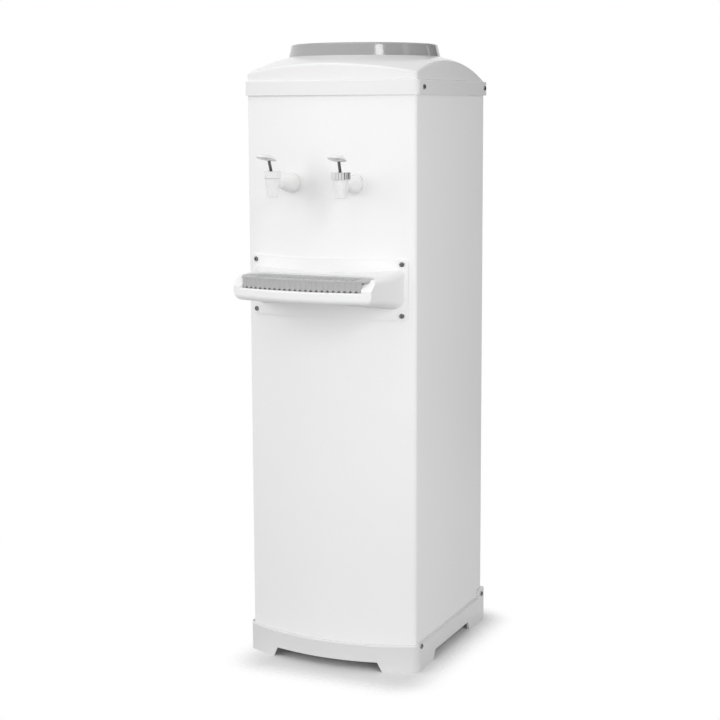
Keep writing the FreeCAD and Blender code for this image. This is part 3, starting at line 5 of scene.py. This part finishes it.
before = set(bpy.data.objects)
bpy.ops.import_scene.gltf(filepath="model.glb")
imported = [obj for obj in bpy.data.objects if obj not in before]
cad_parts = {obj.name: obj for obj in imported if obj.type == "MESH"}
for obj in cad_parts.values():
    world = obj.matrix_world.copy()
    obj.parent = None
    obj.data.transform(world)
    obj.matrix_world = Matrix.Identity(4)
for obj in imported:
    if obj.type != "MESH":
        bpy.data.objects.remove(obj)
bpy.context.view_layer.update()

# Base plinth
# The foot of the cabinet is one white plastic moulding with a rounded rim, foot corners and finger notches.
# The sheet cabinet stands inside its rim and is held there by zinc-plated pan-head screws through the sides.
noise_low, noise_high = 0.05, 0.95


def cloudy(nodes, links, place, scale, detail):
    """Soft noise over the coordinates that come from place."""
    noise = nodes.new("ShaderNodeTexNoise")
    noise.inputs["Scale"].default_value = scale
    noise.inputs["Detail"].default_value = detail
    links.new(place, noise.inputs["Vector"])
    return noise.outputs["Fac"]


def tone_between(nodes, links, amount, dark, light):
    """A colour that goes from dark to light over nearly the whole reach of the noise."""
    ramp = nodes.new("ShaderNodeValToRGB")
    first, last = ramp.color_ramp.elements
    first.position = noise_low
    first.color = (*dark, 1)
    last.position = noise_high
    last.color = (*light, 1)
    links.new(amount, ramp.inputs["Fac"])
    return ramp.outputs["Color"]


def number_between(nodes, links, amount, low, high):
    """A number that goes from low to high over nearly the whole reach of the noise."""
    spread = nodes.new("ShaderNodeMapRange")
    spread.inputs["From Min"].default_value = noise_low
    spread.inputs["From Max"].default_value = noise_high
    spread.inputs["To Min"].default_value = low
    spread.inputs["To Max"].default_value = high
    links.new(amount, spread.inputs["Value"])
    return spread.outputs["Result"]


def finish(name, colour, shade, roughness, grain, metal=0.0, coat=0.0, cells=False, stretch=(1, 1, 1),
           recess_shade=0.0):
    """A surface whose tone drifts slowly, whose gloss is uneven and whose grain stands up a little.

    shade is how much darker the tone gets, roughness its lowest and highest value, and grain its size and
    height in metres. With cells the grain is beads or crystals, and stretch draws it out along an axis.
    The last argument paints shade into hollows up to that many metres across, where ambient occlusion
    darkens the colour.
    """
    handling_scale, handling_detail = 23.0, 6.0
    drift_scale, drift_detail = 7.0, 4.0
    grain_detail, grain_strength = 2.0, 0.6
    coat_roughness = 0.08
    grain_size, grain_height = grain
    made = bpy.data.materials.new(name)
    made.use_nodes = True
    nodes, links = made.node_tree.nodes, made.node_tree.links
    shader = nodes["Principled BSDF"]
    shader.inputs["Metallic"].default_value = metal
    shader.inputs["Coat Weight"].default_value = coat
    shader.inputs["Coat Roughness"].default_value = coat_roughness
    place = nodes.new("ShaderNodeTexCoord").outputs["Object"]
    mapping = nodes.new("ShaderNodeMapping")
    mapping.inputs["Scale"].default_value = stretch
    links.new(place, mapping.inputs["Vector"])
    drawn = mapping.outputs["Vector"]
    handling = cloudy(nodes, links, place, handling_scale, handling_detail)
    links.new(number_between(nodes, links, handling, *roughness), shader.inputs["Roughness"])
    bump = nodes.new("ShaderNodeBump")
    bump.inputs["Strength"].default_value = grain_strength
    bump.inputs["Distance"].default_value = grain_height
    dark = tuple(channel * (1 - shade) for channel in colour)
    if cells:
        beads = nodes.new("ShaderNodeTexVoronoi")
        beads.inputs["Scale"].default_value = 1.0 / grain_size
        links.new(drawn, beads.inputs["Vector"])
        links.new(beads.outputs["Distance"], bump.inputs["Height"])
        each = nodes.new("ShaderNodeSeparateColor")
        links.new(beads.outputs["Color"], each.inputs["Color"])
        mixed = nodes.new("ShaderNodeMix")
        mixed.data_type = "RGBA"
        mixed.inputs["A"].default_value = (*dark, 1)
        mixed.inputs["B"].default_value = (*colour, 1)
        links.new(each.outputs["Red"], mixed.inputs["Factor"])
        tone = mixed.outputs["Result"]
    else:
        drift = cloudy(nodes, links, drawn, drift_scale, drift_detail)
        tone = tone_between(nodes, links, drift, dark, colour)
        links.new(cloudy(nodes, links, drawn, 1.0 / grain_size, grain_detail), bump.inputs["Height"])
    # Painted shade: ambient occlusion darkens the colour inside hollows such as screw recesses.
    if recess_shade:
        hollow = nodes.new("ShaderNodeAmbientOcclusion")
        hollow.only_local = True
        hollow.inputs["Distance"].default_value = recess_shade
        links.new(tone, hollow.inputs["Color"])
        tone = hollow.outputs["Color"]
    links.new(tone, shader.inputs["Base Color"])
    links.new(bump.outputs["Normal"], shader.inputs["Normal"])
    return made


def dress(material, *names):
    """Give the named pieces this one finish."""
    for name in names:
        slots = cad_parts[name].data.materials
        slots.clear()
        slots.append(material)


plinth_plastic = finish("plinth_plastic", colour=(0.69, 0.69, 0.69), shade=0.04, roughness=(0.30, 0.42),
                        grain=(0.0012, 0.00006), coat=0.4)
dress(plinth_plastic, "base_plinth")
# The screws' cross recesses get painted shade, darkened by ambient occlusion.
screw_zinc = finish("screw_zinc", colour=(0.22, 0.22, 0.225), shade=0.2, roughness=(0.16, 0.28),
                    grain=(0.0011, 0.00003), metal=1.0, recess_shade=0.003)
dress(screw_zinc, "base_screws")

# Compressor
# A black enamelled steel can with a moulded terminal cover on its side, which pumps the refrigerant.
# It stands on rubber grommets, bolted to a zinc-coated plate on the plinth's floor.
black_enamel = finish("black_enamel", colour=(0.022, 0.022, 0.023), shade=0.3, roughness=(0.22, 0.36),
                      grain=(0.0015, 0.00005))
black_rubber = finish("black_rubber", colour=(0.028, 0.028, 0.027), shade=0.3, roughness=(0.62, 0.8),
                      grain=(0.0006, 0.00006))
black_plastic = finish("black_plastic", colour=(0.035, 0.035, 0.036), shade=0.25, roughness=(0.42, 0.56),
                       grain=(0.0009, 0.00006))
zinc_sheet = finish("zinc_sheet", colour=(0.62, 0.63, 0.64), shade=0.16, roughness=(0.34, 0.5),
                    grain=(0.009, 0.00002), metal=0.8, cells=True)
dress(black_enamel, "compressor_can")
dress(black_rubber, "compressor_grommets")
dress(black_plastic, "terminal_cover")
dress(zinc_sheet, "compressor_plate")
dress(screw_zinc, "compressor_bolts")

# Cabinet wrap
# One sheet of steel bent round the bowed front and both sides, painted white with a baked powder coat.
# It stands on the plinth's floor and runs up into the skirt of the cover.
powder_white = finish("powder_white", colour=(0.86, 0.86, 0.86), shade=0.02, roughness=(0.42, 0.52),
                      grain=(0.0016, 0.00005))
dress(powder_white, "cabinet_wrap")

# Cold tank
# A drawn steel tank with an aluminium evaporator sleeve round it and a moulded baffle disc in it.
# It is packed in two halves of bead foam on a zinc-coated shelf, and a silicone ring seals its mouth.
tank_steel = finish("tank_steel", colour=(0.52, 0.52, 0.53), shade=0.1, roughness=(0.24, 0.36),
                    grain=(0.0009, 0.00003), metal=1.0, stretch=(1, 1, 0.04))
sleeve_alloy = finish("sleeve_alloy", colour=(0.66, 0.66, 0.68), shade=0.1, roughness=(0.3, 0.45),
                      grain=(0.0012, 0.00003), metal=1.0, stretch=(0.05, 0.05, 1))
bead_foam = finish("bead_foam", colour=(0.86, 0.86, 0.84), shade=0.06, roughness=(0.7, 0.9),
                   grain=(0.0042, -0.0006), cells=True)
silicone = finish("silicone", colour=(0.70, 0.70, 0.68), shade=0.08, roughness=(0.4, 0.55),
                  grain=(0.0012, 0.00004))
cover_plastic = finish("cover_plastic", colour=(0.81, 0.81, 0.81), shade=0.03, roughness=(0.15, 0.21),
                       grain=(0.0018, 0.00002))
dress(zinc_sheet, "tank_shelf")
dress(tank_steel, "cold_tank")
dress(sleeve_alloy, "evaporator_sleeve")
dress(bead_foam, "insulation_front", "insulation_rear")
dress(cover_plastic, "baffle_disc")
dress(silicone, "seat_seal")

# Rear panel
# A flat zinc-coated sheet with louvre slots, screwed to the returned edges of the wrap.
# It carries the thermostat with its black moulded dial, and a rubber gland low down.
dress(zinc_sheet, "rear_panel")
dress(screw_zinc, "rear_screws")
dress(black_plastic, "thermostat_box", "thermostat_knob")
dress(black_rubber, "cord_gland")

# Cold circuit
# Copper suction and discharge lines, a drier and a capillary join the compressor to the tank's sleeve.
# The condenser on the back is a black enamelled tube with wires welded across it, held off by zinc brackets.
copper = finish("copper", colour=(0.60, 0.28, 0.16), shade=0.2, roughness=(0.24, 0.42),
                grain=(0.0012, 0.00003), metal=1.0)
dress(copper, "suction_line", "discharge_line", "capillary_tube", "drier")
dress(black_enamel, "condenser_tube", "condenser_wires")
dress(zinc_sheet, "condenser_brackets")

# Top cover
# A smooth white moulding with a shallow dome, which meets its straight walls in arches.
# Its skirt slips over the cabinet's upper edge and is held by screws at the sides.
dress(cover_plastic, "top_cover")
dress(screw_zinc, "cover_screws")

# Bottle seat
# The gray collar, funnel and neck tube are one glossy moulding, on which the upturned bottle stands.
# It drops loose into the cover's round opening and lifts out for cleaning.
seat_plastic = finish("seat_plastic", colour=(0.34, 0.34, 0.345), shade=0.06, roughness=(0.09, 0.13),
                      grain=(0.0025, 0.000008), coat=0.2)
dress(seat_plastic, "bottle_seat")

# Drip tray
# A white moulding with a basin that stands out under the taps and catches what drips.
# Its bowed flange follows the panel and is held by a pan-head screw in each corner.
tray_plastic = finish("tray_plastic", colour=(0.85, 0.85, 0.85), shade=0.03, roughness=(0.26, 0.36),
                      grain=(0.0014, 0.00005))
dress(tray_plastic, "tray_body")
dress(screw_zinc, "tray_screws")

# Drip grille
# A gray moulded plate with slots for the water and a fluted apron along its front.
# It lies loose in the tray and lifts out.
grille_plastic = finish("grille_plastic", colour=(0.42, 0.42, 0.425), shade=0.06, roughness=(0.30, 0.42),
                        grain=(0.0012, 0.00005))
dress(grille_plastic, "drip_grille")

# Taps
# Each tap is a white moulded body through the panel, held by a nut and joined to the tank by a hose.
# A steel stem under a leaf-shaped paddle turns on a pin in the body and bends a silicone plug off its seat.
# The bonnet over the plug is white on the left tap and chrome-plated on the right one.
tap_plastic = finish("tap_plastic", colour=(0.84, 0.84, 0.84), shade=0.03, roughness=(0.22, 0.32),
                     grain=(0.0012, 0.00004))
lever_steel = finish("lever_steel", colour=(0.14, 0.14, 0.145), shade=0.3, roughness=(0.24, 0.4),
                     grain=(0.0008, 0.00003), metal=0.9)
bright_chrome = finish("bright_chrome", colour=(0.74, 0.74, 0.75), shade=0.04, roughness=(0.04, 0.08),
                       grain=(0.002, 0.00001), metal=1.0)
for side, bonnet_finish in (("left", tap_plastic), ("right", bright_chrome)):
    tap = f"tap_{side}_"
    dress(tap_plastic, tap + "body", tap + "paddle", tap + "nut")
    dress(bonnet_finish, tap + "bonnet")
    dress(lever_steel, tap + "stem", tap + "pin")
    dress(silicone, tap + "seal", tap + "gasket", tap + "washer", tap + "hose")

# Studio floor
# A plain pale floor under the feet, which takes the object's shadow.
# It thins out to nothing a hand's width from the feet, where the white surround shows instead.
floor_reach = 3.0
floor_colour = (0.70, 0.70, 0.70, 1)
shadow_middle = (0.020, 0.020, 0)
shadow_half = (0.108, 0.160, 0)
fade_width = 0.092
floor_mesh = bpy.data.meshes.new("studio_floor")
floor_corners = [(-floor_reach, -floor_reach, 0), (floor_reach, -floor_reach, 0),
                 (floor_reach, floor_reach, 0), (-floor_reach, floor_reach, 0)]
floor_mesh.from_pydata(floor_corners, [], [(0, 1, 2, 3)])
studio_floor = bpy.data.objects.new("studio_floor", floor_mesh)
bpy.context.scene.collection.objects.link(studio_floor)
floor_paint = bpy.data.materials.new("floor_paint")
floor_paint.use_nodes = True
floor_nodes, floor_links = floor_paint.node_tree.nodes, floor_paint.node_tree.links


def floor_step(operation, source, value=(0, 0, 0)):
    """One step of vector sums on the floor's coordinates."""
    step = floor_nodes.new("ShaderNodeVectorMath")
    step.operation = operation
    step.inputs[1].default_value = value
    floor_links.new(source, step.inputs[0])
    return step


paint = floor_nodes["Principled BSDF"]
paint.inputs["Base Color"].default_value = floor_colour
paint.inputs["Roughness"].default_value = 0.8
paint.inputs["Specular IOR Level"].default_value = 0.1
floor_place = floor_nodes.new("ShaderNodeTexCoord").outputs["Object"]
from_middle = floor_step("SUBTRACT", floor_place, shadow_middle).outputs["Vector"]
one_quarter = floor_step("ABSOLUTE", from_middle).outputs["Vector"]
past_edge = floor_step("SUBTRACT", one_quarter, shadow_half).outputs["Vector"]
outside = floor_step("MAXIMUM", past_edge).outputs["Vector"]
distance = floor_step("LENGTH", outside).outputs["Value"]
fade = floor_nodes.new("ShaderNodeMapRange")
fade.interpolation_type = "SMOOTHERSTEP"
fade.inputs["From Min"].default_value = 0.0
fade.inputs["From Max"].default_value = fade_width
fade.inputs["To Min"].default_value = 1.0
fade.inputs["To Max"].default_value = 0.0
floor_links.new(distance, fade.inputs["Value"])
thinned = floor_nodes.new("ShaderNodeMixShader")
clear = floor_nodes.new("ShaderNodeBsdfTransparent")
floor_links.new(fade.outputs["Result"], thinned.inputs["Fac"])
floor_links.new(clear.outputs["BSDF"], thinned.inputs[1])
floor_links.new(paint.outputs["BSDF"], thinned.inputs[2])
floor_links.new(thinned.outputs["Shader"], floor_nodes["Material Output"].inputs["Surface"])
floor_mesh.materials.append(floor_paint)

# Studio surround
# White paper all round the studio, which the camera, glossy surfaces and clear ones see as plain white.
# It lights the object only faintly, because the lamps do that.
surround_light = 0.28
surround_white = 1.0
world = bpy.data.worlds.new("studio_surround")
bpy.context.scene.world = world
world.use_nodes = True
world_nodes, world_links = world.node_tree.nodes, world.node_tree.links
glow = world_nodes["Background"]
glow.inputs["Color"].default_value = (1, 1, 1, 1)
path = world_nodes.new("ShaderNodeLightPath")
seen = path.outputs["Is Camera Ray"]
for ray in ("Is Glossy Ray", "Is Transmission Ray"):
    either = world_nodes.new("ShaderNodeMath")
    either.operation = "MAXIMUM"
    world_links.new(seen, either.inputs[0])
    world_links.new(path.outputs[ray], either.inputs[1])
    seen = either.outputs["Value"]
strength = world_nodes.new("ShaderNodeMapRange")
strength.inputs["To Min"].default_value = surround_light
strength.inputs["To Max"].default_value = surround_white
world_links.new(seen, strength.inputs["Value"])
world_links.new(strength.outputs["Result"], glow.inputs["Strength"])

# Studio lights
# Broad round soft boxes at the front left, the front, the right, behind and above light the object evenly.
# The small one high on the right is the stripe that the glossy collar mirrors.


def soft_light(name, place, target, size, power, mirrored):
    """A round soft box that faces target; one that isn't mirrored leaves no spot on glossy surfaces."""
    lamp = bpy.data.lights.new(name, "AREA")
    lamp.shape = "DISK"
    lamp.size = size
    lamp.energy = power
    holder = bpy.data.objects.new(name, lamp)
    holder.location = place
    holder.rotation_euler = (Vector(target) - Vector(place)).to_track_quat("-Z", "Y").to_euler()
    holder.visible_glossy = mirrored
    bpy.context.scene.collection.objects.link(holder)


soft_light("left_light", (-2.4, -1.9, 1.5), target=(0, 0, 0.6), size=3.2, power=54, mirrored=False)
soft_light("front_light", (0.2, -3.2, 1.2), target=(0, 0, 0.6), size=3.0, power=24, mirrored=False)
soft_light("right_light", (1.45, -0.74, 0.66), target=(0, 0, 0.62), size=1.2, power=11, mirrored=False)
soft_light("back_light", (-1.2, 2.9, 1.5), target=(0, 0, 0.6), size=2.8, power=26, mirrored=False)
soft_light("top_light", (-0.4, -0.6, 3.2), target=(0, 0, 0.5), size=2.6, power=21, mirrored=True)
soft_light("side_strip", (2.2, -2.0, 2.35), target=(0, 0, 0.95), size=0.8, power=15, mirrored=True)

# Dark cards
# Three curved sheets of dark card stand round the right side of the studio.
# Bright metal and glossy plastic mirror them, which gives their curves an edge.
card_distance = 1.9
card_levels = (-0.1, 2.2)
card_spans = ((56, 88), (98, 138), (143, 170))
card_steps = 8
card_colour = (0.06, 0.06, 0.06, 1)
card_corners, card_faces = [], []
for first, last in card_spans:
    for step in range(card_steps + 1):
        around = math.radians(first + (last - first) * step / card_steps)
        for level in card_levels:
            card_corners.append((card_distance * math.sin(around), -card_distance * math.cos(around), level))
        if step:
            end = len(card_corners)
            card_faces.append((end - 4, end - 2, end - 1, end - 3))
card_mesh = bpy.data.meshes.new("dark_cards")
card_mesh.from_pydata(card_corners, [], card_faces)
card_paint = bpy.data.materials.new("card_paint")
card_paint.use_nodes = True
card_shader = card_paint.node_tree.nodes["Principled BSDF"]
card_shader.inputs["Base Color"].default_value = card_colour
card_shader.inputs["Roughness"].default_value = 0.9
card_mesh.materials.append(card_paint)
dark_cards = bpy.data.objects.new("dark_cards", card_mesh)
bpy.context.scene.collection.objects.link(dark_cards)
dark_cards.visible_camera = False
dark_cards.visible_diffuse = False
dark_cards.visible_shadow = False

# Camera
# A long lens to the right of the front and a little above the taps, looking slightly down.
# Its place and angles are those from which the photograph was taken.
camera_place = (1.0791, -2.3415, 0.8977)
camera_dip = 7.818
camera_turn = 24.66
camera_roll = -0.237
view = bpy.data.cameras.new("photo_camera")
view.lens = 78.602
view.sensor_width = 36.0
view.shift_y = -0.05
view.clip_end = 50.0
aim = Euler((math.radians(90 - camera_dip), 0, math.radians(camera_turn))).to_matrix()
aim = aim @ Matrix.Rotation(math.radians(camera_roll), 3, "Z")
photo_camera = bpy.data.objects.new("photo_camera", view)
photo_camera.matrix_world = Matrix.Translation(camera_place) @ aim.to_4x4()
bpy.context.scene.collection.objects.link(photo_camera)
bpy.context.scene.camera = photo_camera
bpy.context.scene.view_settings.view_transform = "Standard"
